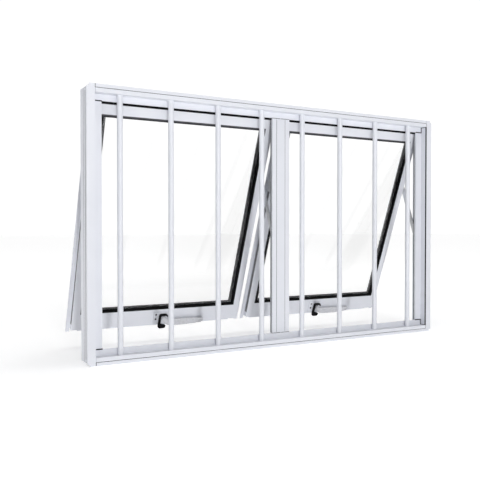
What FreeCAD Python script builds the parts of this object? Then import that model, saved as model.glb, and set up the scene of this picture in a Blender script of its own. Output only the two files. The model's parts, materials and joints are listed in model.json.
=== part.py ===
import FreeCAD, Part
import math
import os

# Top-projecting aluminium window: fixed frame, mullion, security bars and two tilting sashes.
# All lengths in mm. X runs along the width, Y from the room outward, Z up.
# Depths below are counted from the room-side face and heights from the lower flange edge;
# export moves the origin to the underside of the sill body, at mid depth.

width = 1000.0
height = 600.0
depth = 60.0

# Frame profiles
lip = 4.0                 # how far the room-side flange stands outside the frame body
flange_skin = 1.6         # thickness of the room-side flange
skin = 1.5                # thickness of every other frame wall
jamb_face = 18.2          # width of the jamb's room-side face
rail_face = 17.7          # height of the head's and sill's room-side face
riser_y = 21.0            # depth of the recessed face behind the bars
riser_top = 31.9          # outer edge to the free edge of the head and sill recessed face
jamb_inner = 39.0         # outer edge to the free edge of the jamb recessed face
jamb_tube = 7.5           # thickness of the jamb's hollow chamber
groove_from_edge = 8.0    # shadow line in the room-side face of head and sill
groove_w = 1.4
groove_depth = 1.1
side_grooves = ((25.0, 3.0), (38.0, 2.2))   # depth and width of the jamb's two side grooves
butt_groove_w = 1.3       # open joint where head and sill faces meet the jambs
butt_groove_depth = 1.4
bar_screw_r = 2.1
sill_back_top = 12.0
head_drip = 25.0          # the head's drip wall hangs this far
head_tip_t = 3.0
latch_notch = (14.0, 32.0)    # sill stop is notched this far each side of a latch
notch_levels = (19.0, 40.0)
drain_xs = (-380.0, -120.0, 120.0, 380.0)
drain_half = 12.0
drain_h = 4.0
corner_notch = 5.3        # the jamb flange is notched at its outer corners
return_y = 26.5           # depth where the recessed face's return ends and its seal starts
seal_end_y = 28.5
stop_y = 42.0             # depth of the weather stop that the sash flange laps
sill_stop_top = 27.5
joint_gap = 0.3           # visible joint between butted profiles
mullion_half = 26.0
mullion_web_half = 1.5
cover_half = 12.0

# Security bars
bar_d = 12.7
bar_wall = 1.2
bar_pitch = 120.7
bar_count = 8
bar_y = 13.6

# Sash geometry, all measured on the closed sash
stay_arm = 160.0          # arm length; the frame pivot sits two arm lengths under the top pivot
open_angle = 20.1         # opening angle of the rest pose, degrees
pivot_y = 36.56           # depth of all stay pivots with the sash closed
top_pivot_z = 583.15      # height of the top pivot with the sash closed
pivot_in = 6.0            # sash face to stay pivot line
pivot_above = 20.0        # stay top pivot above the sight line of the top rail
sash_y = pivot_y - pivot_in
sight_top = top_pivot_z - pivot_above
sash_width = 461.0
sash_offset = 14.5        # window centre line to the nearer sash side
sight_height = 487.2
top_rail_h = 25.0
bottom_rail_h = 41.8
stile_w = 19.0
bead_lip = 4.5            # glazing lips either side of the glass
sash_depth = 20.0
sash_skin = 1.5
flange_at = 15.0
flange_out = 9.5
flange_top = 4.0
flange_start = -16.5      # stile flanges start below the top pivot, so they clear the weather stops
flange_bottom = 10.5
glass_at = 4.0
glass_t = 4.0
gasket_show = 6.0         # inner gasket beyond the sight line
outer_gasket_show = 6.0
outer_gasket_side = 13.0
outer_gasket_low = 10.5   # the outer gasket's upstand along the bottom
outer_lip_at = 12.0       # the outer glazing lip starts here, behind the outer gasket
seal_depth = 1.0          # stile fin seal, how deep its groove is
seal_t0 = 2.0
seal_t1 = 11.5

# Friction stay, counted outward from the sash side
plate_gap = 0.2
plate_t = 1.5
arm_gap = 2.2
arm_t = 2.5
stop_gap = 5.0
track_from = 5.2
track_back = 13.0
arm_half = 6.0
pin_r = 3.0
pin_hole_r = 3.05
plate_screw_drops = (30.0, 95.0, 175.0)   # plate screws below the top pivot
track_bottom = top_pivot_z - 2 * stay_arm - 14.0
track_top = 592.0

# Latch on each bottom rail. Sideways from the sash's middle, up and down from its turning axis
latch_s = 512.0           # turning axis below the sight line
axis_x = 8.0
spindle_r = 4.0
latch_plate_t = 2.3
latch_back = 2.6          # back of the hook, in front of the sash face
hook_plate = 3.8          # front of the hook's thin plate round the spindle
latch_front = 7.4         # front of the lever's paddle
hook_front = 7.6          # front of the hook's tongue
hub_r = 6.3
hub_front = 8.2
cap_r = 4.6
hook_outline = [
    (-6.0, 10.0), (-4.6, 12.6), (-2.0, 13.4), (12.0, 13.4), (15.5, 12.3), (17.4, 9.4), (18.6, 4.4),
    (16.4, 3.8), (14.0, 6.6), (12.0, 8.2), (1.0, 8.3), (-0.4, 7.0), (-0.6, -13.8), (1.4, -15.0),
    (13.0, -17.6), (15.4, -20.4), (14.8, -23.4), (12.4, -26.6), (0.4, -27.2), (-4.0, -26.4), (-6.6, -22.6),
]
lever_outline = [
    (1.6, -2.0), (9.0, -11.0), (16.0, -17.8), (24.0, -20.3), (40.0, -21.2), (60.0, -21.3), (80.0, -20.7),
    (100.0, -19.4), (117.0, -17.8), (121.0, -16.8), (122.0, -15.2), (122.0, -4.4), (120.4, -2.6),
    (15.0, -1.2), (12.0, 4.6),
]

os.makedirs("parts", exist_ok=True)


def box(x0, x1, y0, y1, z0, z1):
    """Box between two corners, given in any order."""
    low = [min(x0, x1), min(y0, y1), min(z0, z1)]
    size = [abs(x1 - x0), abs(y1 - y0), abs(z1 - z0)]
    return Part.makeBox(size[0], size[1], size[2], FreeCAD.Vector(*low))


def rod(x, y, z, radius, length, axis):
    """Cylinder that starts at a point and runs along an axis."""
    return Part.makeCylinder(radius, length, FreeCAD.Vector(x, y, z), FreeCAD.Vector(*axis))


def join(shapes):
    """One solid from touching pieces."""
    whole = shapes[0].fuse(shapes[1:]) if len(shapes) > 1 else shapes[0]
    return whole.removeSplitter()


def cut_all(shape, tools):
    """Shape with every tool removed."""
    for tool in tools:
        shape = shape.cut(tool)
    return shape


def mirror_x(shape):
    """Copy on the other side of the window's centre plane."""
    return shape.mirror(FreeCAD.Vector(0, 0, 0), FreeCAD.Vector(1, 0, 0))


def mirror_z(shape):
    """Copy turned upside down about the frame's mid height."""
    return shape.mirror(FreeCAD.Vector(0, 0, height / 2), FreeCAD.Vector(0, 0, 1))


def save(name, shapes):
    """Write one node, moved so the origin is on the sill body's underside, at mid depth."""
    pieces = shapes if isinstance(shapes, list) else [shapes]
    node = Part.makeCompound(pieces) if len(pieces) > 1 else pieces[0]
    node = node.copy()
    node.translate(FreeCAD.Vector(0, -depth / 2, -lip))
    node.exportStep("parts/" + name + ".step")


# ---------------------------------------------------------------- frame
half = width / 2
body_x = half - lip                       # outer side of the jamb chamber
wall_x = body_x - jamb_tube               # inner side of the jamb chamber
ledge_x = half - jamb_face                # inner edge of the jamb face
riser_x = half - jamb_inner               # inner edge of the jamb recessed face
stop_x = sash_offset + sash_width + stop_gap
port_places = [(10.0, 9.6), (26.2, 9.0), (55.5, 9.0)]   # depth and height of each screw port
port_r = 3.6
screw_hole_r = 2.1
screw_head_r = 2.7
screw_head_t = 1.0
pin_levels = (21.5, 34.0, 46.5)           # pin holes in the jamb flange, from its end
pin_hole_in = 2.9
flange_pin_r = 0.8
fixing_levels = (110.0, 490.0)
fixing_y = 12.0
fixing_r = 3.0
bar_xs = [(i - (bar_count - 1) / 2) * bar_pitch for i in range(bar_count)]


def frame_rail():
    """Sill profile without its weather stop."""
    lower = [
        box(-ledge_x, ledge_x, 0, flange_skin, 0, rail_face),
        box(-ledge_x, ledge_x, 0, riser_y + skin, rail_face - skin, rail_face),
        box(-ledge_x, ledge_x, riser_y, riser_y + skin, rail_face - skin, riser_top),
        box(-ledge_x, ledge_x, 0, riser_y + skin, lip, lip + skin),
        box(-wall_x, wall_x, riser_y + skin, depth, lip, lip + skin),
    ]
    for y, z in port_places:
        inner_end = ledge_x if y < riser_y else wall_x
        port = rod(-inner_end, y, z, port_r, 2 * inner_end, (1, 0, 0))
        lower.append(port)
    rail = join(lower)
    cuts = [rod(-half, y, z, 2.0, width, (1, 0, 0)) for y, z in port_places]
    cuts += [rod(x, bar_y, 0, bar_screw_r, riser_top, (0, 0, 1)) for x in bar_xs]
    for start in (-ledge_x, ledge_x - butt_groove_w):
        cuts.append(box(start, start + butt_groove_w, -1, butt_groove_depth, -1, rail_face))
    groove_low = groove_from_edge - groove_w / 2
    cuts.append(box(-half, half, -1, groove_depth, groove_low, groove_low + groove_w))
    return cut_all(rail, cuts)


def latch_xs():
    """Middle of each sash, where its latch sits."""
    middle = sash_offset + sash_width / 2
    return [-middle, middle]


def make_sill():
    """Sill: room ledge, recessed face, drained trough and weather stop."""
    stop = box(-wall_x, wall_x, stop_y, stop_y + skin, lip, sill_stop_top)
    back = box(-wall_x, wall_x, depth - skin, depth, lip, sill_back_top)
    sill = join([frame_rail(), stop, back])
    before, after = latch_notch
    low, high = notch_levels
    notches = [box(x - before, x + after, stop_y - 1, stop_y + 4, low, high) for x in latch_xs()]
    slots = []
    floor = lip + skin
    for x in drain_xs:
        for y0, y1 in ((depth - 3, depth + 1), (stop_y - 1, stop_y + 3)):
            slots.append(box(x - drain_half, x + drain_half, y0, y1, floor, floor + drain_h))
    return cut_all(sill, notches + slots)


def make_head():
    """Head: the sill's profile upside down, with a drip wall in place of the stop."""
    back = box(-wall_x, wall_x, depth - skin, depth, height - head_drip, height - lip)
    low = height - riser_top
    tip = box(-ledge_x, ledge_x, riser_y, riser_y + head_tip_t, low, low + skin)
    return join([mirror_z(frame_rail()), back, tip])


def make_jamb():
    """Left jamb: full-height face, hollow chamber, recessed face with return, weather stop."""
    low = riser_top + joint_gap
    high = height - riser_top - joint_gap
    chamber = box(-body_x, -wall_x, 0, depth, lip, height - lip)
    inner_ledge = -ledge_x
    shapes = [
        box(-half, inner_ledge, 0, flange_skin, 0, height),
        chamber,
        box(inner_ledge - skin, inner_ledge, 0, riser_y + skin, 0, height),
        box(inner_ledge - skin, -riser_x, riser_y, riser_y + skin, low, high),
        box(-riser_x - skin, -riser_x, riser_y, return_y, low, high),
        box(-wall_x, inner_ledge, riser_y, riser_y + skin, low, high),
        box(-wall_x, -stop_x, stop_y, stop_y + skin, sill_stop_top + joint_gap, height - 8.0),
    ]
    jamb = join(shapes)
    cuts = [
        box(-body_x + skin, -wall_x - skin, skin * 2, depth - skin, 0, height),
    ]
    for y, groove in side_grooves:
        low_y = y - groove / 2
        cuts.append(box(-body_x - 1, -body_x + 0.9, low_y, low_y + groove, -1, height + 1))
    for end in (0, height):
        low_z = end - corner_notch
        cuts.append(box(-half - 1, -half + corner_notch, -1, flange_skin, low_z, end + corner_notch))
    for y, z in port_places:
        for level in (z, height - z):
            reach = jamb_face + 6 if y < riser_y else jamb_tube + 2
            cuts.append(rod(-body_x - 1, y, level, screw_hole_r, reach, (1, 0, 0)))
            cuts.append(rod(-body_x - 1, y, level, screw_head_r + 0.05, 1 + screw_head_t, (1, 0, 0)))
    for z in pin_levels:
        for level in (z, height - z):
            cuts.append(rod(-half + pin_hole_in, -1, level, flange_pin_r, 4, (0, 1, 0)))
    for z in fixing_levels:
        cuts.append(rod(-body_x - 1, fixing_y, z, fixing_r, jamb_tube + 2, (1, 0, 0)))
    return cut_all(jamb, cuts)


def make_mullion():
    """Mullion: recessed face flush with the jambs, web, two weather stops and a rear flange."""
    low = riser_top + joint_gap
    high = height - riser_top - joint_gap
    shapes = [
        box(-mullion_half, mullion_half, riser_y, riser_y + skin, low, high),
        box(-mullion_web_half, mullion_web_half, riser_y, depth, low, high),
        box(-5, 5, depth - skin, depth, low, high),
    ]
    near_stop = sash_offset - stop_gap
    for side in (-1, 1):
        shapes.append(box(side * (mullion_half - skin), side * mullion_half, riser_y, return_y, low, high))
        shapes.append(box(side * 1.0, side * near_stop, stop_y, stop_y + skin, low, high))
    mullion = join(shapes)
    slots = [rod(0, riser_y - 1, z, 1.8, 8, (0, 1, 0)) for z in (120.0, 300.0, 480.0)]
    return cut_all(mullion, slots)


def make_mullion_cleats():
    """Angle cleats that hold the mullion web to the sill and to the head."""
    front = stop_y + skin + 0.5
    back = front + 7.0
    base = box(-4.5, 4.5, front, back, lip + skin, lip + skin + 2)
    upright = box(mullion_web_half, mullion_web_half + 2, front, back, lip + skin, 60.0)
    lower = join([base, upright])
    return [lower, mirror_z(lower)]


def make_cover():
    """Snap-in cover strip over the mullion's screw line, with three locating pegs."""
    low = riser_top + joint_gap + 2
    high = height - riser_top - joint_gap - 2
    shapes = [box(-cover_half, cover_half, riser_y - 0.9, riser_y, low, high)]
    for z in (120.0, 300.0, 480.0):
        shapes.append(rod(0, riser_y - 0.5, z, 1.7, 3.5, (0, 1, 0)))
    return join(shapes)


def make_bar(x):
    """Round security bar, a tube between the two ledges."""
    length = height - 2 * rail_face
    outer = rod(x, bar_y, rail_face, bar_d / 2, length, (0, 0, 1))
    return outer.cut(rod(x, bar_y, rail_face, bar_d / 2 - bar_wall, length, (0, 0, 1)))


def make_bar_plugs():
    """Plug and screw shank at both ends of every bar."""
    plugs = []
    for x in bar_xs:
        plug = rod(x, bar_y, rail_face, bar_d / 2 - bar_wall, 12, (0, 0, 1))
        shank = rod(x, bar_y, lip + skin + 2, 2.0, rail_face - lip - skin - 2, (0, 0, 1))
        head = rod(x, bar_y, rail_face - skin - 2.5, 3.6, 2.5, (0, 0, 1))
        lower = join([plug, shank, head])
        plugs.append(lower)
        plugs.append(mirror_z(lower))
    return plugs


def make_frame_screws():
    """Flush-head screws through the jambs into the screw ports of head and sill."""
    screws = []
    for y, z in port_places:
        for level in (z, height - z):
            head = rod(-body_x, y, level, screw_head_r, screw_head_t, (1, 0, 0))
            shank = rod(-body_x + 0.5, y, level, 1.9, 34, (1, 0, 0))
            slot = box(-body_x - 1, -body_x + 0.4, y - 2.0, y + 2.0, level - 0.35, level + 0.35)
            screw = join([head, shank]).cut(slot)
            screws.append(screw)
            screws.append(mirror_x(screw))
    return screws


def make_room_seals():
    """Black seals on the free edges of the recessed faces, toward the sash."""
    low = riser_top + joint_gap
    high = height - riser_top - joint_gap
    edge = height - riser_top
    head_seal = box(-riser_x + 0.5, -mullion_half - 0.3, riser_y + 3.0, seal_end_y, edge - 4.4, edge + 1.5)
    jamb_seal = box(-riser_x - skin - 1, -riser_x, return_y, seal_end_y, low, high - 3)
    seals = [head_seal, mirror_x(head_seal), jamb_seal, mirror_x(jamb_seal)]
    for side in (-1, 1):
        inner = side * (mullion_half - skin - 1)
        seals.append(box(inner, side * mullion_half, return_y, seal_end_y, low, high - 3))
    return seals


def make_weather_seals():
    """Bulb seals on the weather stops, where the sash flange lands."""
    high = height - 14.0
    y0 = stop_y + skin
    y1 = y0 + 1.8
    low = sill_stop_top + joint_gap
    jamb_seal = box(-stop_x - 3.5, -stop_x - 0.3, y0, y1, low, high)
    seals = [jamb_seal, mirror_x(jamb_seal)]
    near = sash_offset - stop_gap - 0.3
    for side in (-1, 1):
        seals.append(box(side * (near - 3.2), side * near, y0, y1, riser_top + 1, height - riser_top - 1))
        middle = side * (sash_offset + sash_width / 2)
        outer_end = side * (stop_x - 4)
        inner_end = side * 6.0
        latch_gap = sorted([middle - 14, middle + 32])
        ends = sorted([outer_end, inner_end])
        seals.append(box(ends[0], latch_gap[0], y0, y1, sill_stop_top - 3.3, sill_stop_top - 0.2))
        seals.append(box(latch_gap[1], ends[1], y0, y1, sill_stop_top - 3.3, sill_stop_top - 0.2))
    return seals


# ---------------------------------------------------------------- sash, built closed
def sash_sides(side):
    """Left and right body sides of the sash left (-1) or right (1) of the mullion."""
    near = side * sash_offset
    far = side * (sash_offset + sash_width)
    return min(near, far), max(near, far)


def slab(x0, x1, t0, t1, s0, s1):
    """Box in sash terms: t from the sash face outward, s down from the top sight line."""
    return box(x0, x1, sash_y + t0, sash_y + t1, sight_top - s0, sight_top - s1)


def tilt(shape, angle):
    """Take a closed-sash shape to an opening angle."""
    turned = shape.copy()
    drop = 2 * stay_arm * (1 - math.cos(math.radians(angle)))
    turned.rotate(FreeCAD.Vector(0, pivot_y, top_pivot_z), FreeCAD.Vector(1, 0, 0), angle)
    turned.translate(FreeCAD.Vector(0, 0, -drop))
    return turned


def tilt_all(shapes):
    """Take closed-sash shapes to the rest pose."""
    return [tilt(shape, open_angle) for shape in shapes]


def stile_seal(x_side, inward):
    """Fin seal strip that sits flush in the stile's side wall, close to the sash face."""
    return slab(x_side, x_side + inward * seal_depth, seal_t0, seal_t1, 12, sight_height + 28)


def make_stile(x_side, inward):
    """Hollow stile: chamber, weather flange, the two glazing lips and the seal groove."""
    bottom = sight_height + bottom_rail_h
    chamber_w = stile_w - bead_lip
    chamber = slab(x_side, x_side + inward * chamber_w, 0, sash_depth, -top_rail_h, bottom)
    hollow = slab(x_side + inward * sash_skin, x_side + inward * (chamber_w - sash_skin), sash_skin,
                  sash_depth - sash_skin, -top_rail_h - 1, bottom + 1)
    outer = join([
        chamber.cut(hollow),
        slab(x_side - inward * flange_out, x_side, flange_at, flange_at + sash_skin, flange_start,
             bottom + flange_bottom),
        slab(x_side, x_side + inward * stile_w, 0, sash_skin, -top_rail_h, bottom),
        slab(x_side, x_side + inward * stile_w, outer_lip_at, sash_depth, -top_rail_h, bottom),
    ])
    return cut_all(outer, [stile_seal(x_side, inward), hollow])


def make_rail(x0, x1, s_outer, s_sight, flange):
    """Hollow rail between the stiles; s_outer is its free edge and s_sight its glass edge."""
    down = 1 if s_outer > s_sight else -1
    s_wall = s_sight + down * bead_lip
    left = x0 + stile_w
    right = x1 - stile_w
    chamber = slab(left, right, 0, sash_depth, s_wall, s_outer)
    hollow = slab(left - 1, right + 1, sash_skin, sash_depth - sash_skin, s_wall + down * sash_skin,
                  s_outer - down * sash_skin)
    return join([
        chamber.cut(hollow),
        slab(left, right, 0, sash_skin, s_sight, s_wall),
        slab(left, right, outer_lip_at, sash_depth, s_sight, s_wall),
        slab(left, right, flange_at, flange_at + sash_skin, s_outer - down * 0.5, s_outer + down * flange),
    ])


def ring(x0, x1, t0, t1, s0, s1, band):
    """Rectangular ring of one band width."""
    opening = slab(x0 + band, x1 - band, t0 - 1, t1 + 1, s0 + band, s1 - band)
    return slab(x0, x1, t0, t1, s0, s1).cut(opening)


def make_gasket_inner(x0, x1):
    """Black wedge gasket on the room side of the glass."""
    edge = bead_lip - 0.5
    sx0 = x0 + stile_w
    sx1 = x1 - stile_w
    s_low = sight_height + edge
    back = ring(sx0 - edge, sx1 + edge, sash_skin, glass_at, -edge, s_low, edge + gasket_show)
    front = ring(sx0, sx1, -0.4, sash_skin, 0, sight_height, gasket_show)
    return join([back, front])


def make_gasket_outer(x0, x1):
    """Dark gasket on the weather side of the glass, with a taller upstand along the bottom."""
    left = x0 + stile_w
    right = x1 - stile_w
    t0 = glass_at + glass_t
    show = outer_gasket_show
    outside = slab(left, right, t0, outer_lip_at, 0, sight_height)
    side = outer_gasket_side
    opening = slab(left + side, right - side, t0 - 1, outer_lip_at + 1, show,
                   sight_height - outer_gasket_low)
    edge = bead_lip - 0.5
    wrap = ring(left - edge, right + edge, t0, outer_lip_at, -edge, sight_height + edge, edge)
    return join([outside.cut(opening), wrap])


def make_glass(x0, x1):
    """Single pane held between the two gaskets."""
    edge = bead_lip - 0.8
    left = x0 + stile_w - edge
    right = x1 - stile_w + edge
    return slab(left, right, glass_at, glass_at + glass_t, -edge, sight_height + edge)


def make_stile_seals(x0, x1):
    """Black fin seals along the room-side edge of both stiles."""
    return [stile_seal(x0, 1), stile_seal(x1, -1)]


def make_stay_plates(x0, x1):
    """Steel plate on each sash side that carries the top pivot pin and the arm pin."""
    plates = []
    for x_side, out in ((x0, -1), (x1, 1)):
        outer_face = x_side + out * (plate_gap + plate_t)
        top_z = top_pivot_z
        arm_z = top_pivot_z - stay_arm
        strip = box(x_side, outer_face, pivot_y - 5.5, pivot_y + 5.5, arm_z - 24, top_z)
        rounded = rod(min(x_side, outer_face), pivot_y, top_z, 5.4, plate_gap + plate_t, (1, 0, 0))
        start = min(x_side, x_side + out * (track_back - 3))
        top_pin = rod(start, pivot_y, top_z, pin_r, track_back - 3, (1, 0, 0))
        arm_start = min(x_side, x_side + out * (arm_gap + arm_t))
        arm_pin = rod(arm_start, pivot_y, arm_z, pin_r, arm_gap + arm_t, (1, 0, 0))
        plate = join([strip, rounded, top_pin, arm_pin])
        for drop in plate_screw_drops:
            plate = plate.cut(rod(x_side - 5, pivot_y, top_z - drop, 2.1, 10, (1, 0, 0)))
        plates.append(plate)
    return plates


def make_sash_screws(x0, x1):
    """Stay plate screws, three on each side."""
    screws = []
    for x_side, out in ((x0, -1), (x1, 1)):
        for drop in plate_screw_drops:
            start = min(x_side, x_side + out * (plate_gap + plate_t))
            screws.append(rod(start, pivot_y, top_pivot_z - drop, 2.0, plate_gap + plate_t, (1, 0, 0)))
    return screws


def make_arm(x_side, out):
    """Stay arm with a hole at each end, built upright from the frame pivot to the sash pivot."""
    low = top_pivot_z - 2 * stay_arm
    high = top_pivot_z - stay_arm
    near = x_side + out * arm_gap
    far = x_side + out * (arm_gap + arm_t)
    start = min(near, far)
    strip = box(near, far, pivot_y - arm_half, pivot_y + arm_half, low, high)
    ends = [rod(start, pivot_y, z, arm_half, arm_t, (1, 0, 0)) for z in (low, high)]
    holes = [rod(start - 1, pivot_y, z, pin_hole_r, arm_t + 2, (1, 0, 0)) for z in (low, high)]
    arm = cut_all(join([strip] + ends), holes)
    arm.rotate(FreeCAD.Vector(0, pivot_y, low), FreeCAD.Vector(1, 0, 0), -open_angle)
    return arm


def make_shoe(x_side, out):
    """Sliding shoe in the stay track, with the hole for the top pivot pin."""
    low = top_pivot_z - 9
    high = top_pivot_z + 7
    shoulder = x_side + out * (track_from + 1.5)
    back = x_side + out * (track_back - 1.3)
    body = box(shoulder, back, pivot_y - 4.1, pivot_y + 4.1, low, high)
    mouth = x_side + out * (track_from + 0.1)
    neck = box(mouth, shoulder, pivot_y - 3.6, pivot_y + 3.6, low, high)
    shoe = join([body, neck])
    start = min(x_side, x_side + out * track_back)
    shoe = shoe.cut(rod(start, pivot_y, top_pivot_z, pin_hole_r, track_back, (1, 0, 0)))
    drop = 2 * stay_arm * (1 - math.cos(math.radians(open_angle)))
    shoe.translate(FreeCAD.Vector(0, 0, -drop))
    return shoe


def make_track(x_side, out):
    """Stay track: a channel with inward lips, fixed to the jamb or the mullion web."""
    back = x_side + out * track_back
    front = x_side + out * track_from
    outer = box(front, back, pivot_y - 5.4, pivot_y + 5.4, track_bottom, track_top)
    low = track_bottom + 26
    high = track_top + 1
    groove_near = x_side + out * (track_from + 1.2)
    groove_far = x_side + out * (track_back - 1.0)
    groove = box(groove_near, groove_far, pivot_y - 4.3, pivot_y + 4.3, low, high)
    mouth = box(x_side, x_side + out * (track_from + 2), pivot_y - 3.8, pivot_y + 3.8, low, high)
    return cut_all(outer, [groove, mouth])


def make_foot_pin(x_side, out):
    """Frame-side pivot pin of the stay arm, with a flat head."""
    z = top_pivot_z - 2 * stay_arm
    head_end = x_side + out * 0.7
    shank_start = x_side + out * (arm_gap - 0.3)
    shank_end = x_side + out * track_from
    head = rod(min(head_end, shank_start), pivot_y, z, 4.5, abs(shank_start - head_end), (1, 0, 0))
    shank = rod(min(shank_start, shank_end), pivot_y, z, pin_r, abs(shank_end - shank_start), (1, 0, 0))
    return join([head, shank])


# ---------------------------------------------------------------- latch, built closed
def latch_rod(x, up, radius, front, back):
    """Round piece of the latch that faces the room, between two distances from the sash face."""
    return rod(x, sash_y - front, sight_top - latch_s + up, radius, front - back, (0, 1, 0))


def latch_plate(middle, outline, front, back):
    """Flat piece of the latch with the outline given, between two distances from the sash face."""
    level = sight_top - latch_s
    corners = [FreeCAD.Vector(middle + x, sash_y - front, level + up) for x, up in outline]
    corners.append(corners[0])
    return Part.Face(Part.makePolygon(corners)).extrude(FreeCAD.Vector(0, front - back, 0))


def make_latch_base(middle):
    """Base plate with the spindle that hook and lever turn on, and its two screws."""
    plate = slab(middle - 21, middle + 19, -latch_plate_t, 0, latch_s - 17, latch_s + 14)
    spindle = latch_rod(middle + axis_x, 0, spindle_r, 7.0, 0)
    base = join([plate, spindle])
    screws = []
    for up in (10.5, -3.0):
        base = base.cut(latch_rod(middle - 14, up, 1.6, 4.0, 0))
        head = latch_rod(middle - 14, up, 2.8, 3.5, latch_plate_t)
        shank = latch_rod(middle - 14, up, 1.5, 2.4, 0)
        screws.append(join([head, shank]))
    return base, screws


def make_latch_hook(middle):
    """Black hook: curved tongue, spine and foot, with a thin plate round the spindle."""
    tongue = latch_plate(middle, hook_outline, hook_front, latch_back)
    bridge = latch_plate(middle, [(-2, 4), (-2, -4), (axis_x, -4), (axis_x, 4)], hook_plate, latch_back)
    eye = latch_rod(middle + axis_x, 0, 6.0, hook_plate, latch_back)
    return join([tongue, bridge, eye]).cut(latch_rod(middle + axis_x, 0, spindle_r + 0.05, 9.0, 2.0))


def make_latch_lever(middle, hook):
    """Long paddle lever with a curved lower edge and a hub over the spindle."""
    paddle = latch_plate(middle, lever_outline, latch_front, hook_plate + 0.1)
    hub = latch_rod(middle + axis_x, 0, hub_r, hub_front, hook_plate + 0.1)
    bore = latch_rod(middle + axis_x, 0, spindle_r + 0.05, 7.2, 2.0)
    return cut_all(join([paddle, hub]), [bore, hook])


def make_latch_cap(middle):
    """Cap over the lever's hub."""
    return latch_rod(middle + axis_x, 0, cap_r, hub_front + 0.9, hub_front + 0.02)


# ---------------------------------------------------------------- export
left_jamb = make_jamb()
save("jamb_left", left_jamb)
save("jamb_right", mirror_x(left_jamb))
save("head", make_head())
save("sill", make_sill())
save("mullion", make_mullion())
save("mullion_cover", make_cover())
save("mullion_cleats", make_mullion_cleats())
save("bar_plugs", make_bar_plugs())
save("frame_screws", make_frame_screws())
save("room_seals", make_room_seals())
save("weather_seals", make_weather_seals())
for index, bar_x in enumerate(bar_xs):
    save("bar_%d" % (index + 1), make_bar(bar_x))

tracks = []
foot_pins = []
for side, word in ((-1, "left"), (1, "right")):
    x0, x1 = sash_sides(side)
    lower_edge = sight_height + bottom_rail_h
    save(word + "_stile_a", tilt(make_stile(x0, 1), open_angle))
    save(word + "_stile_b", tilt(make_stile(x1, -1), open_angle))
    save(word + "_top_rail", tilt(make_rail(x0, x1, -top_rail_h, 0.0, flange_top), open_angle))
    save(word + "_bottom_rail", tilt(make_rail(x0, x1, lower_edge, sight_height, flange_bottom), open_angle))
    save(word + "_glass", tilt(make_glass(x0, x1), open_angle))
    save(word + "_gasket_in", tilt(make_gasket_inner(x0, x1), open_angle))
    save(word + "_gasket_out", tilt(make_gasket_outer(x0, x1), open_angle))
    save(word + "_stile_seals", tilt_all(make_stile_seals(x0, x1)))
    save(word + "_stay_plates", tilt_all(make_stay_plates(x0, x1)))
    save(word + "_plate_screws", tilt_all(make_sash_screws(x0, x1)))
    middle = (x0 + x1) / 2
    latch_base, latch_screws = make_latch_base(middle)
    latch_hook = make_latch_hook(middle)
    save(word + "_latch_base", tilt(latch_base, open_angle))
    save(word + "_latch_screws", tilt_all(latch_screws))
    save(word + "_latch_hook", tilt(latch_hook, open_angle))
    save(word + "_latch_lever", tilt(make_latch_lever(middle, latch_hook), open_angle))
    save(word + "_latch_cap", tilt(make_latch_cap(middle), open_angle))
    for x_side, out, tag in ((x0, -1, "a"), (x1, 1, "b")):
        save(word + "_arm_" + tag, make_arm(x_side, out))
        save(word + "_shoe_" + tag, make_shoe(x_side, out))
        tracks.append(make_track(x_side, out))
        foot_pins.append(make_foot_pin(x_side, out))
save("stay_tracks", tracks)
save("stay_foot_pins", foot_pins)
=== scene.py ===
import json
import math

import bmesh
import bpy
from mathutils import Matrix, Vector


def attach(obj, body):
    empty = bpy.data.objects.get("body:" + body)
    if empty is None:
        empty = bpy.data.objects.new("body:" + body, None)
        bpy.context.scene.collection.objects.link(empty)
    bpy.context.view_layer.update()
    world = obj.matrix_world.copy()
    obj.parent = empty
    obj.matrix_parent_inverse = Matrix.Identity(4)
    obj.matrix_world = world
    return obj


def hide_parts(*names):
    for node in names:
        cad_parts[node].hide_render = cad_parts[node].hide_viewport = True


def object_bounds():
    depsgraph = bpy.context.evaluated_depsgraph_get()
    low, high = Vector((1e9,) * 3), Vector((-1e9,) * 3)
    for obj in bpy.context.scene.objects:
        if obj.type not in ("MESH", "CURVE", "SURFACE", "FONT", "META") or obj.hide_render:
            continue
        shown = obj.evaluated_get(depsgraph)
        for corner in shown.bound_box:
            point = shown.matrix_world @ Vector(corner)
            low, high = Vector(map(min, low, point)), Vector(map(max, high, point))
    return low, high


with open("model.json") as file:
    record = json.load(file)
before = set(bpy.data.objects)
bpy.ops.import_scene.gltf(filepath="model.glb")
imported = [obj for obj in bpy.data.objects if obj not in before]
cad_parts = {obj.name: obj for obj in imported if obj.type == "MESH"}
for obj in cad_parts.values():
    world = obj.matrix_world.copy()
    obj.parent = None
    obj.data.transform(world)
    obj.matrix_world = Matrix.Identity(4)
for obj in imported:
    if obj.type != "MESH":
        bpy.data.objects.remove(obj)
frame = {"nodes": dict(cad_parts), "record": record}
nodes = frame["nodes"]
cad_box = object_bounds()
record = frame["record"]

# Driving values, in metres and degrees
tilt = math.radians(20.1)               # opening angle of both sashes at rest
camera_spot = Vector((-0.8987, -1.3786, 0.2879))
camera_yaw = math.radians(29.7)
camera_pitch = math.radians(-0.96)
camera_lens = 48.8
floor_reach = 30.0
floor_glow = (0.42, 0.80)               # near and far: lifts the pale floor to the surround's white
face_depth = -0.030                     # room-side face of the frame
lift = -0.004                           # height of the flange's lower edge
half_width = 0.500
outer_height = 0.600
ledge_x = half_width - 0.0182           # where head and sill butt against the jamb faces
rail_face = 0.0177                      # height of the head's and sill's front face
riser_depth = face_depth + 0.021        # recessed face behind the bars
riser_top = 0.0319
mullion_half = 0.026
cover_half = 0.012
sash_y = 0.03056 - 0.030                # sash face when closed
sight_top = 0.56315 + lift              # glass top edge when closed
pivot_y = 0.03656 - 0.030
pivot_z = 0.58315 + lift
stay_arm = 0.160
sash_middle = 0.0145 + 0.461 / 2
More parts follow.
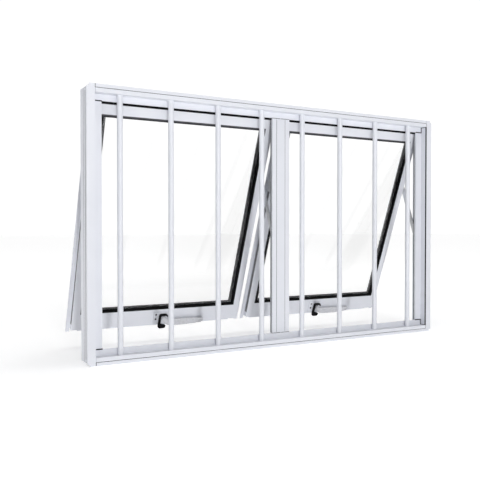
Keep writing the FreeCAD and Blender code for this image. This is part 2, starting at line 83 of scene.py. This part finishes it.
latch_s = 0.512                         # latch axis below the glass top edge
latch_axis_x = 0.008
butt_width = 0.0013
butt_length = 0.0085                    # dark butt joint, from the frame's edge to the shadow line; the joint is real, and which stretch is dark is painted shade
side_grooves = ((0.025, 0.0028), (0.038, 0.0020))   # depth of the jamb's side grooves, and width of the dark bead painted in each as shade
jamb_return = 0.039                     # the jamb's recessed face ends this far from the frame's edge
shadow_line_at = 0.008                  # the faces' shadow line, from the frame's edge
step_bead = 0.0024                      # widths of the joint seal beads and of the painted shade beads
riser_bead = 0.0026
mullion_bead = 0.0010
cover_beads = (0.0006, 0.0016)          # left and right edge of the mullion cover; the right one is wider as painted shade at the cover's step
shadow_bead = 0.0008
edge_shade_bead = 0.0022
hook_reach = (0.0027, 0.0075)           # back and front of the hook, before the sash face
lever_back = 0.0040
hub_back = 0.0039
latch_plate_front = 0.0023
screw_x = -0.014                        # latch screws: sideways and up from the latch axis
screw_ups = (0.0110, -0.0015)
turned_sides = 40
black = ((0.0015, 0.0015, 0.002), (0.004, 0.004, 0.005))    # darkest and lightest gasket black
# painted reflection: the grey painted on the gasket's top and left runs
painted_reflection_grey = (0.085, 0.085, 0.095)
painted_reflection_run = {"Z": (0.976, 0.986), "X": (0.018, 0.008)}       # where the painted reflection turns the gasket grey, as box shares
glow_reach = (0.6, 2.6)                 # the floor's glow grows between these distances
bright_cone = (0.72, 0.86)              # cosines between which the surround brightens
surround_levels = (0.11, 1.05)
softboxes = {                           # place, aim, size and power
    "key": ((-1.3, -4.6, 0.70), (0, 0, 0.3), (0.34, 0.34), 78),
    "side": ((-3.6, 0.0, 0.8), (0, 0.05, 0.3), (0.8, 1.6), 22),
    "top": ((0.3, -0.6, 3.2), (0, 0, 0), (3.2, 2.0), 52),
}


# ---------------------------------------------------------------- node helpers
def new_material(name):
    """Empty node material with its principled shader."""
    material = bpy.data.materials.new(name)
    material.use_nodes = True
    tree = material.node_tree
    shader = tree.nodes["Principled BSDF"]
    return material, tree, shader


def add_noise(tree, scale, detail=4.0, roughness=0.55, stretch=(1, 1, 1)):
    """Noise in the object's own coordinates, stretched along an axis if wanted."""
    coords = tree.nodes.new("ShaderNodeTexCoord")
    mapping = tree.nodes.new("ShaderNodeMapping")
    mapping.inputs["Scale"].default_value = stretch
    noise = tree.nodes.new("ShaderNodeTexNoise")
    noise.inputs["Scale"].default_value = scale
    noise.inputs["Detail"].default_value = detail
    noise.inputs["Roughness"].default_value = roughness
    tree.links.new(coords.outputs["Object"], mapping.inputs["Vector"])
    tree.links.new(mapping.outputs["Vector"], noise.inputs["Vector"])
    return noise


def vary_colour(tree, shader, noise, low, high):
    """Base colour that drifts between two close colours."""
    ramp = tree.nodes.new("ShaderNodeValToRGB")
    ramp.color_ramp.elements[0].position = 0.3
    ramp.color_ramp.elements[0].color = (*low, 1)
    ramp.color_ramp.elements[1].position = 0.7
    ramp.color_ramp.elements[1].color = (*high, 1)
    tree.links.new(noise.outputs["Fac"], ramp.inputs["Fac"])
    tree.links.new(ramp.outputs["Color"], shader.inputs["Base Color"])


def vary_roughness(tree, shader, noise, low, high):
    """Roughness that follows a noise."""
    span = tree.nodes.new("ShaderNodeMapRange")
    span.inputs["From Min"].default_value = 0.3
    span.inputs["From Max"].default_value = 0.7
    span.inputs["To Min"].default_value = low
    span.inputs["To Max"].default_value = high
    tree.links.new(noise.outputs["Fac"], span.inputs["Value"])
    tree.links.new(span.outputs["Result"], shader.inputs["Roughness"])


def add_bump(tree, shader, noise, strength, distance):
    """Fine relief from a noise."""
    bump = tree.nodes.new("ShaderNodeBump")
    bump.inputs["Strength"].default_value = strength
    bump.inputs["Distance"].default_value = distance
    tree.links.new(noise.outputs["Fac"], bump.inputs["Height"])
    tree.links.new(bump.outputs["Normal"], shader.inputs["Normal"])


# ---------------------------------------------------------------- materials
def make_powder_coat():
    """Satin white powder coat: faint orange peel, slight drift of tone and gloss."""
    material, tree, shader = new_material("powder_coat")
    vary_colour(tree, shader, add_noise(tree, 9.0, 3.0), (0.742, 0.758, 0.812), (0.762, 0.777, 0.828))
    vary_roughness(tree, shader, add_noise(tree, 60.0, 4.0), 0.34, 0.46)
    add_bump(tree, shader, add_noise(tree, 1400.0, 2.0, 0.5), 0.12, 0.0002)
    shader.inputs["Specular IOR Level"].default_value = 0.42
    return material


def make_glass():
    """Clear float glass with a painted shade: a grey tone that grows toward one lower corner."""
    material, tree, shader = new_material("float_glass")
    coords = tree.nodes.new("ShaderNodeTexCoord")
    across = tree.nodes.new("ShaderNodeVectorMath")
    across.operation = "DOT_PRODUCT"
    across.inputs[1].default_value = (0.55, 0, -0.45)
    drift = add_noise(tree, 2.5, 1.0)
    mixed = tree.nodes.new("ShaderNodeMath")
    mixed.operation = "MULTIPLY_ADD"
    mixed.inputs[1].default_value = 0.16
    # painted shade: the glass turns greyer toward one lower corner
    painted_shade_ramp = tree.nodes.new("ShaderNodeValToRGB")
    painted_shade_ramp.color_ramp.elements[0].position = 0.05
    painted_shade_ramp.color_ramp.elements[0].color = (0.995, 0.997, 0.997, 1)
    painted_shade_ramp.color_ramp.elements[1].position = 0.62
    painted_shade_ramp.color_ramp.elements[1].color = (0.905, 0.905, 0.900, 1)
    tree.links.new(coords.outputs["Generated"], across.inputs[0])
    tree.links.new(drift.outputs["Fac"], mixed.inputs[0])
    tree.links.new(across.outputs["Value"], mixed.inputs[2])
    tree.links.new(mixed.outputs["Value"], painted_shade_ramp.inputs["Fac"])
    tree.links.new(painted_shade_ramp.outputs["Color"], shader.inputs["Base Color"])
    vary_roughness(tree, shader, add_noise(tree, 18.0, 3.0), 0.0, 0.012)
    shader.inputs["Specular IOR Level"].default_value = 0.3
    shader.inputs["Transmission Weight"].default_value = 1.0
    shader.inputs["IOR"].default_value = 1.45
    return material


def make_rubber(name, low, high):
    """Matt extruded rubber with a fine skin grain."""
    material, tree, shader = new_material(name)
    vary_colour(tree, shader, add_noise(tree, 40.0, 3.0), low, high)
    vary_roughness(tree, shader, add_noise(tree, 120.0, 3.0), 0.62, 0.82)
    add_bump(tree, shader, add_noise(tree, 900.0, 3.0, 0.6), 0.25, 0.0002)
    shader.inputs["Specular IOR Level"].default_value = 0.12
    return material


def make_gasket_rubber_with_painted_reflection():
    """Black gasket rubber with a painted reflection: its top and left runs are painted grey."""
    material = make_rubber("gasket_rubber", *black)
    tree = material.node_tree
    shader = tree.nodes["Principled BSDF"]
    gasket_black_socket = shader.inputs["Base Color"].links[0].from_socket
    coords = tree.nodes.new("ShaderNodeTexCoord")
    split = tree.nodes.new("ShaderNodeSeparateXYZ")
    tree.links.new(coords.outputs["Generated"], split.inputs["Vector"])
    reach = []
    for axis, (start, end) in painted_reflection_run.items():
        span = tree.nodes.new("ShaderNodeMapRange")
        span.inputs["From Min"].default_value = start
        span.inputs["From Max"].default_value = end
        tree.links.new(split.outputs[axis], span.inputs["Value"])
        reach.append(span)
    most = tree.nodes.new("ShaderNodeMath")
    most.operation = "MAXIMUM"
    tree.links.new(reach[0].outputs["Result"], most.inputs[0])
    tree.links.new(reach[1].outputs["Result"], most.inputs[1])
    # painted reflection: mix the grey into the black along the top and left runs
    mix = tree.nodes.new("ShaderNodeMix")
    mix.data_type = "RGBA"
    mix.inputs["B"].default_value = (*painted_reflection_grey, 1)
    tree.links.new(most.outputs["Value"], mix.inputs["Factor"])
    tree.links.new(gasket_black_socket, mix.inputs["A"])
    tree.links.new(mix.outputs["Result"], shader.inputs["Base Color"])
    return material


def make_steel(name, low, high, stretch):
    """Brushed stainless steel with grain along one axis."""
    material, tree, shader = new_material(name)
    shader.inputs["Metallic"].default_value = 1.0
    vary_colour(tree, shader, add_noise(tree, 30.0, 3.0), low, high)
    grain = add_noise(tree, 260.0, 5.0, 0.65, stretch)
    vary_roughness(tree, shader, grain, 0.24, 0.42)
    add_bump(tree, shader, grain, 0.18, 0.0002)
    return material


def make_plastic(name, low, high, rough, grain, gloss):
    """Moulded plastic with a fine spark-eroded grain, given as its scale and strength."""
    material, tree, shader = new_material(name)
    vary_colour(tree, shader, add_noise(tree, 50.0, 3.0), low, high)
    vary_roughness(tree, shader, add_noise(tree, 150.0, 3.0), *rough)
    add_bump(tree, shader, add_noise(tree, grain[0], 3.0, 0.6), grain[1], 0.0002)
    shader.inputs["Specular IOR Level"].default_value = gloss
    return material


coat = make_powder_coat()
glass = make_glass()
black_rubber = make_rubber("black_rubber", *black)
grey_rubber = make_rubber("grey_rubber", (0.195, 0.197, 0.206), (0.235, 0.237, 0.246))
# near-black seal colour, also used for the painted shade beads
seal_and_shade_black = make_rubber("joint_sealant_and_painted_shade", (0.012, 0.012, 0.014), (0.022, 0.022, 0.025))
steel = make_steel("stay_steel", (0.76, 0.77, 0.79), (0.84, 0.85, 0.87), (1, 1, 0.04))
zinc = make_steel("screw_zinc", (0.42, 0.42, 0.43), (0.52, 0.52, 0.53), (1, 1, 1))
mill_aluminium = make_steel("mill_aluminium", (0.70, 0.71, 0.72), (0.78, 0.79, 0.80), (0.05, 1, 1))
dark_screw = make_steel("latch_screw_steel", (0.06, 0.06, 0.065), (0.10, 0.10, 0.105), (1, 1, 1))
shoe_nylon = make_plastic(
    "shoe_nylon", (0.05, 0.05, 0.052), (0.08, 0.08, 0.083), (0.42, 0.55), (800.0, 0.2), 0.4)
hook_nylon = make_plastic(
    "hook_nylon", (0.002, 0.002, 0.003), (0.005, 0.005, 0.006), (0.50, 0.62), (1100.0, 0.12), 0.08)
lever_white = make_plastic(
    "lever_white", (0.60, 0.605, 0.635), (0.62, 0.625, 0.655), (0.22, 0.34), (1500.0, 0.08), 0.45)

slot_finish = {
    "white_coat": coat,
    "glass": glass,
    "black_rubber": black_rubber,
    "grey_rubber": grey_rubber,
    "stainless": steel,
    "zinc_screws": zinc,
    "plain_aluminium": mill_aluminium,
    "shoe_nylon": shoe_nylon,
    "black_nylon": hook_nylon,
    "white_lever": lever_white,
}
node_slot = {entry["node"]: entry["material_slot"] for entry in record["subparts"]}
# gasket rubber with the painted reflection on its top and left runs
gasket_rubber = make_gasket_rubber_with_painted_reflection()
node_finish = {
    "left_gasket_in": gasket_rubber,
    "right_gasket_in": gasket_rubber,
    "left_latch_base": coat,
    "right_latch_base": coat,
    "left_stile_seals": grey_rubber,
    "right_stile_seals": grey_rubber,
}

bevel_width = {
    "white_coat": 0.0004,
    "plain_aluminium": 0.0003,
    "stainless": 0.0003,
    "black_rubber": 0.0004,
    "grey_rubber": 0.0004,
    "shoe_nylon": 0.0004,
    "black_nylon": 0.0006,
    "white_lever": 0.0005,
}


def dress_cad_node(name, piece):
    """Finish and softened edges for a carried-over CAD node."""
    slot = node_slot[name]
    piece.data.materials.clear()
    piece.data.materials.append(node_finish.get(name, slot_finish[slot]))
    if slot in bevel_width:
        bevel = piece.modifiers.new("edge", "BEVEL")
        bevel.width = bevel_width[slot]
        bevel.segments = 2
        bevel.limit_method = "ANGLE"
        bevel.angle_limit = math.radians(35)
        bevel.harden_normals = False


for node_name, node_piece in nodes.items():
    dress_cad_node(node_name, node_piece)


# ---------------------------------------------------------------- made pieces
def finished_mesh(name, builder):
    """Turn a builder into a mesh and let the builder go."""
    mesh = bpy.data.meshes.new(name)
    builder.to_mesh(mesh)
    builder.free()
    return mesh


def link_piece(name, mesh, finish, body):
    """Put a made mesh into the scene, riding on its body."""
    piece = bpy.data.objects.new(name, mesh)
    bpy.context.scene.collection.objects.link(piece)
    mesh.materials.append(finish)
    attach(piece, body)
    return piece


def soften(piece, width, segments=3):
    """Rounded edges on a made piece."""
    bevel = piece.modifiers.new("edge", "BEVEL")
    bevel.width = width
    bevel.segments = segments
    bevel.limit_method = "ANGLE"
    bevel.angle_limit = math.radians(30)


def seal_and_shade_bead(name, corners, width, depth):
    """Dark bead for joint seal lines and for painted shade lines: a square bead that follows corner points;
    depth lengthens each stretch.
    """
    builder = bmesh.new()
    for start, end in zip(corners, corners[1:]):
        along = (Vector(end) - Vector(start)).normalized()
        middle = (Vector(start) + Vector(end)) / 2
        length = (Vector(end) - Vector(start)).length + depth
        made = bmesh.ops.create_cube(builder, size=1.0)["verts"]
        face_turn = along.to_track_quat("X", "Z").to_matrix().to_4x4()
        shape = Matrix.Translation(middle) @ face_turn @ Matrix.Diagonal((length, width, width, 1))
        bmesh.ops.transform(builder, matrix=shape, verts=made)
    piece = link_piece(name, finished_mesh(name, builder), seal_and_shade_black, "frame")
    soften(piece, width * 0.25, 2)


def make_joint_seals_and_shade_beads():
    """Thin dark seals in the joints between jambs, head, sill and mullion, where the butt and cover beads
    are partly painted shade, and dark beads painted as shade in the jambs' side grooves, along the faces'
    shadow lines and on the right jamb's inner face edge.
    """
    top = outer_height + lift
    low_face = rail_face + lift
    low_riser = riser_top + lift
    high_face = outer_height - rail_face + lift
    high_riser = outer_height - riser_top + lift
    for side, word in ((-1, "left"), (1, "right")):
        x = side * (ledge_x - butt_width / 2)
        y = face_depth + butt_width / 2 + 0.0001
        # painted shade: the butt joint is drawn dark only where it lies in shade, the outer stretch at the
        # left and the inner stretch at the right
        spans = ((lift, lift + butt_length), (top - butt_length, top))
        if side > 0:
            spans = ((lift + butt_length, low_face), (high_face, top - butt_length))
        for (start, end), end_word in zip(spans, ("sill", "head")):
            run = [(x, y, start + 0.0002), (x, y, end - 0.0002)]
            seal_and_shade_bead("seal_%s_%s_butt" % (word, end_word), run, butt_width, 0)
        near = side * (ledge_x - 0.0004)
        far = side * (half_width - jamb_return - 0.0008)
        steps = {
            "sill": [(near, face_depth + 0.002, low_face), (near, riser_depth, low_face),
                     (near, riser_depth, low_riser)],
            "head": [(near, face_depth + 0.002, high_face), (near, riser_depth, high_face),
                     (near, riser_depth, high_riser)],
        }
        for end_word, corners in steps.items():
            if side > 0:
                seal_and_shade_bead("seal_right_" + end_word + "_step", corners, step_bead, step_bead)
            level = corners[-1][2]
            run = [(near, riser_depth + 0.0004, level), (far, riser_depth + 0.0004, level)]
            seal_and_shade_bead("seal_" + word + "_" + end_word + "_riser", run, riser_bead, 0)
            edge = side * mullion_half
            run = [(edge, riser_depth, level), (side * 0.001, riser_depth, level)]
            seal_and_shade_bead("seal_mullion_" + word + "_" + end_word, run, mullion_bead, 0)
        # the right cover bead is partly painted shade: wider where the step lies in shadow
        cover_edge = side * (cover_half + 0.0002)
        ends = (low_riser + 0.002, high_riser - 0.002)
        seal_and_shade_bead("seal_cover_" + word, [(cover_edge, riser_depth, z) for z in ends],
                  cover_beads[side > 0], 0)
        # painted shade: a dark bead deep in each of the jamb's side grooves
        for number, (depth_in, bead) in enumerate(side_grooves):
            x = side * (half_width + lift - bead / 2 - 0.0001)
            y = face_depth + depth_in
            run = [(x, y, 0.0004), (x, y, outer_height + 2 * lift - 0.0004)]
            seal_and_shade_bead("seal_%s_side_%d" % (word, number + 1), run, bead, 0)
    # painted shade: dark beads along the shadow lines of the head's and sill's faces
    reach = ledge_x - 0.0006
    for level, end_word in ((lift + shadow_line_at, "sill"), (top - shadow_line_at, "head")):
        run = [(x, face_depth + 0.0009, level) for x in (-reach, reach)]
        seal_and_shade_bead("shadow_line_" + end_word, run, shadow_bead, 0)
    # painted shade: dark beads on the right jamb's inner edge face, which lies in shadow
    x = ledge_x + 0.0003
    for number, y in enumerate((face_depth + 0.0012, face_depth + 0.0033)):
        run = [(x, y, low_face), (x, y, high_face)]
        seal_and_shade_bead("seal_right_face_edge_%d" % (number + 1), run, edge_shade_bead, 0)
    run = [(-mullion_half, riser_depth + 0.0004, z) for z in (low_riser, high_riser)]
    seal_and_shade_bead("seal_mullion_edge", run, mullion_bead, 0)


def sash_matrix():
    """Takes a point of the closed sash to the rest pose."""
    drop = 2 * stay_arm * (1 - math.cos(tilt))
    pivot = Vector((0, pivot_y, pivot_z))
    turn = Matrix.Rotation(tilt, 4, "X")
    return Matrix.Translation((0, 0, -drop)) @ Matrix.Translation(pivot) @ turn @ Matrix.Translation(-pivot)


def latch_point(middle, x, up, front):
    """Point of a closed sash's latch: sideways, up from its axis, and in front of the sash face."""
    return Vector((middle + x, sash_y - front, sight_top - latch_s + up))


def smooth_outline(corners, rounds):
    """Closed outline with its corners cut twice for a soft curve."""
    points = [Vector(corner) for corner in corners]
    for _ in range(rounds):
        finer = []
        for here, there in zip(points, points[1:] + points[:1]):
            finer.append(here.lerp(there, 0.25))
            finer.append(here.lerp(there, 0.75))
        points = finer
    return points


def plate_mesh(name, middle, outline, back, front):
    """Solid plate of a latch piece, between two distances before the sash face."""
    builder = bmesh.new()
    front_ring = []
    back_ring = []
    for point in outline:
        front_ring.append(builder.verts.new(latch_point(middle, point.x, point.y, front)))
        back_ring.append(builder.verts.new(latch_point(middle, point.x, point.y, back)))
    count = len(outline)
    builder.faces.new(front_ring)
    builder.faces.new(list(reversed(back_ring)))
    for k in range(count):
        after = (k + 1) % count
        builder.faces.new((front_ring[after], front_ring[k], back_ring[k], back_ring[after]))
    bmesh.ops.recalc_face_normals(builder, faces=builder.faces)
    bmesh.ops.transform(builder, matrix=sash_matrix(), verts=builder.verts)
    return finished_mesh(name, builder)


def mm(pairs):
    """Pairs of millimetres as metres."""
    return [(a / 1000, b / 1000) for a, b in pairs]


hook_corners = mm([
    (-6.0, 13.3), (5.0, 13.3), (14.0, 13.3), (17.8, 9.6), (18.4, 4.2), (16.4, 4.0), (13.8, 8.2), (7.0, 8.2),
    (-0.8, 8.2), (-0.8, 0.0), (-0.8, -14.6), (6.0, -15.6), (13.4, -17.6), (15.4, -20.4), (12.4, -26.9),
    (4.0, -27.1), (-4.2, -26.9), (-6.8, -22.4), (-6.4, -12.0), (-6.0, 0.0),
])


def make_hooks():
    """Latch hooks with rounded, moulded edges."""
    outline = smooth_outline(hook_corners, 2)
    for side, word in ((-1, "left"), (1, "right")):
        mesh = plate_mesh(word + "_hook", side * sash_middle, outline, *hook_reach)
        piece = link_piece(word + "_hook", mesh, hook_nylon, word + "_latch")
        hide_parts(word + "_latch_hook")
        soften(piece, 0.0011)


lever_low = mm([
    (1.8, -3.0), (9.0, -11.0), (16.0, -17.6), (24.0, -20.2), (40.0, -21.1), (60.0, -21.2), (80.0, -20.6),
    (100.0, -19.3), (117.0, -17.7), (121.6, -15.6),
])
lever_high = mm([
    (6.0, 3.8), (13.0, -0.6), (20.0, -1.2), (28.0, -1.4), (42.0, -1.6), (60.0, -1.8), (80.0, -2.0),
    (100.0, -2.3), (117.0, -2.8), (121.6, -5.0),
])


def make_levers():
    """Latch levers: a paddle with a raised upper rib, a dished face and a round hub."""
    hub_profile = mm([(6.0, 0), (6.0, 3.4), (5.6, 4.0), (4.9, 4.2), (0, 4.2)])
    heights = (0.0, 0.10, 0.36, 0.62, 0.70, 0.84, 1.0)
    fronts = (0.0058, 0.0066, 0.0062, 0.0060, 0.0068, 0.0073, 0.0070)
    for side, word in ((-1, "left"), (1, "right")):
        middle = side * sash_middle
        builder = bmesh.new()
        columns = []
        for low, high in zip(lever_low, lever_high):
            front = []
            for part, reach in zip(heights, fronts):
                x = low[0] + (high[0] - low[0]) * part
                up = low[1] + (high[1] - low[1]) * part
                front.append(builder.verts.new(latch_point(middle, x, up, reach)))
            top_back = builder.verts.new(latch_point(middle, high[0], high[1], lever_back))
            low_back = builder.verts.new(latch_point(middle, low[0], low[1], lever_back))
            columns.append(front + [top_back, low_back])
        ring = len(columns[0])
        for here, there in zip(columns, columns[1:]):
            for k in range(ring):
                after = (k + 1) % ring
                builder.faces.new((here[k], there[k], there[after], here[after]))
        builder.faces.new(columns[0])
        builder.faces.new(list(reversed(columns[-1])))
        bmesh.ops.recalc_face_normals(builder, faces=builder.faces)
        bmesh.ops.transform(builder, matrix=sash_matrix(), verts=builder.verts)
        mesh = finished_mesh(word + "_lever", builder)
        piece = link_piece(word + "_lever", mesh, lever_white, word + "_latch")
        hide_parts(word + "_latch_lever")
        soften(piece, 0.0006)
        centre = latch_point(middle, latch_axis_x, 0, hub_back)
        turned_piece(word + "_lever_hub", centre, hub_profile, lever_white, word + "_latch")


def turned_piece(name, centre, profile, finish, body):
    """Round piece turned from a profile of radius and height, facing the room on a closed sash."""
    builder = bmesh.new()
    rings = []
    for radius, height in profile:
        if radius == 0:
            rings.append([builder.verts.new(centre + Vector((0, -height, 0)))])
            continue
        ring = []
        for k in range(turned_sides):
            angle = 2 * math.pi * k / turned_sides
            offset = Vector((radius * math.cos(angle), -height, radius * math.sin(angle)))
            ring.append(builder.verts.new(centre + offset))
        rings.append(ring)
    for here, there in zip(rings, rings[1:]):
        for k in range(turned_sides):
            after = (k + 1) % turned_sides
            if len(there) == 1:
                builder.faces.new((here[k], here[after], there[0]))
            else:
                builder.faces.new((here[k], here[after], there[after], there[k]))
    bmesh.ops.recalc_face_normals(builder, faces=builder.faces)
    bmesh.ops.transform(builder, matrix=sash_matrix(), verts=builder.verts)
    mesh = finished_mesh(name, builder)
    for face in mesh.polygons:
        face.use_smooth = len(face.vertices) == 4
    return link_piece(name, mesh, finish, body)


def make_latch_screws():
    """Raised-head latch screws, turned from a profile."""
    dome = mm([(2.5, 0), (2.5, 0.35), (2.2, 0.8), (1.7, 1.05), (1.1, 1.15), (1.0, 0.5), (0, 0.45)])
    for side, word in ((-1, "left"), (1, "right")):
        for k, up in enumerate(screw_ups):
            centre = latch_point(side * sash_middle, screw_x, up, latch_plate_front)
            turned_piece(word + "_latch_screw_%d" % (k + 1), centre, dome, dark_screw,
                                       word + "_sash")
        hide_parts(word + "_latch_screws")


make_joint_seals_and_shade_beads()
make_hooks()
make_levers()
make_latch_screws()


# ---------------------------------------------------------------- studio
def make_floor():
    """Large plain pale floor under the lowest edge."""
    low = cad_box[0][2]
    builder = bmesh.new()
    bmesh.ops.create_grid(builder, x_segments=8, y_segments=8, size=floor_reach)
    mesh = finished_mesh("floor", builder)
    floor = bpy.data.objects.new("floor", mesh)
    floor.location = (0, 0, low)
    bpy.context.scene.collection.objects.link(floor)
    material, tree, shader = new_material("pale_floor")
    vary_colour(tree, shader, add_noise(tree, 1.5, 2.0), (0.93, 0.93, 0.935), (0.95, 0.95, 0.955))
    shader.inputs["Roughness"].default_value = 0.9
    shader.inputs["Emission Color"].default_value = (1, 1, 1, 1)
    coords = tree.nodes.new("ShaderNodeTexCoord")
    away = tree.nodes.new("ShaderNodeVectorMath")
    away.operation = "LENGTH"
    glow = tree.nodes.new("ShaderNodeMapRange")
    glow.inputs["From Min"].default_value = glow_reach[0]
    glow.inputs["From Max"].default_value = glow_reach[1]
    glow.inputs["To Min"].default_value = floor_glow[0]
    glow.inputs["To Max"].default_value = floor_glow[1]
    tree.links.new(coords.outputs["Object"], away.inputs[0])
    tree.links.new(away.outputs["Value"], glow.inputs["Value"])
    tree.links.new(glow.outputs["Result"], shader.inputs["Emission Strength"])
    mesh.materials.append(material)


def add_softbox(name, spot, aim, size, power):
    """Soft area light pointed at a place."""
    light = bpy.data.lights.new(name, "AREA")
    light.shape = "RECTANGLE"
    light.size = size[0]
    light.size_y = size[1]
    light.energy = power
    lamp = bpy.data.objects.new(name, light)
    lamp.location = spot
    direction = Vector(aim) - Vector(spot)
    lamp.rotation_euler = direction.to_track_quat("-Z", "Y").to_euler()
    bpy.context.scene.collection.objects.link(lamp)


def make_world(general_level, back_level):
    """White surround, brightest in the part that stands behind the window."""
    world = bpy.data.worlds.new("studio")
    world.use_nodes = True
    tree = world.node_tree
    coords = tree.nodes.new("ShaderNodeTexCoord")
    toward = tree.nodes.new("ShaderNodeVectorMath")
    toward.operation = "DOT_PRODUCT"
    toward.inputs[1].default_value = (math.sin(camera_yaw), math.cos(camera_yaw), 0)
    level = tree.nodes.new("ShaderNodeMapRange")
    level.inputs["From Min"].default_value = bright_cone[0]
    level.inputs["From Max"].default_value = bright_cone[1]
    level.inputs["To Min"].default_value = general_level
    level.inputs["To Max"].default_value = back_level
    tree.links.new(coords.outputs["Generated"], toward.inputs[0])
    tree.links.new(toward.outputs["Value"], level.inputs["Value"])
    surround = tree.nodes["Background"]
    surround.inputs["Color"].default_value = (1, 1, 1, 1)
    tree.links.new(level.outputs["Result"], surround.inputs["Strength"])
    bpy.context.scene.world = world


def make_camera():
    """Camera at the reference viewing angle."""
    data = bpy.data.cameras.new("camera")
    data.lens = camera_lens
    data.sensor_width = 36.0
    camera = bpy.data.objects.new("camera", data)
    camera.location = camera_spot
    camera.rotation_euler = (math.radians(90) + camera_pitch, 0, -camera_yaw)
    bpy.context.scene.collection.objects.link(camera)
    bpy.context.scene.camera = camera


make_floor()
make_world(*surround_levels)
for light_name, light_values in softboxes.items():
    add_softbox(light_name, *light_values)
make_camera()
bpy.context.scene.view_settings.view_transform = "Standard"
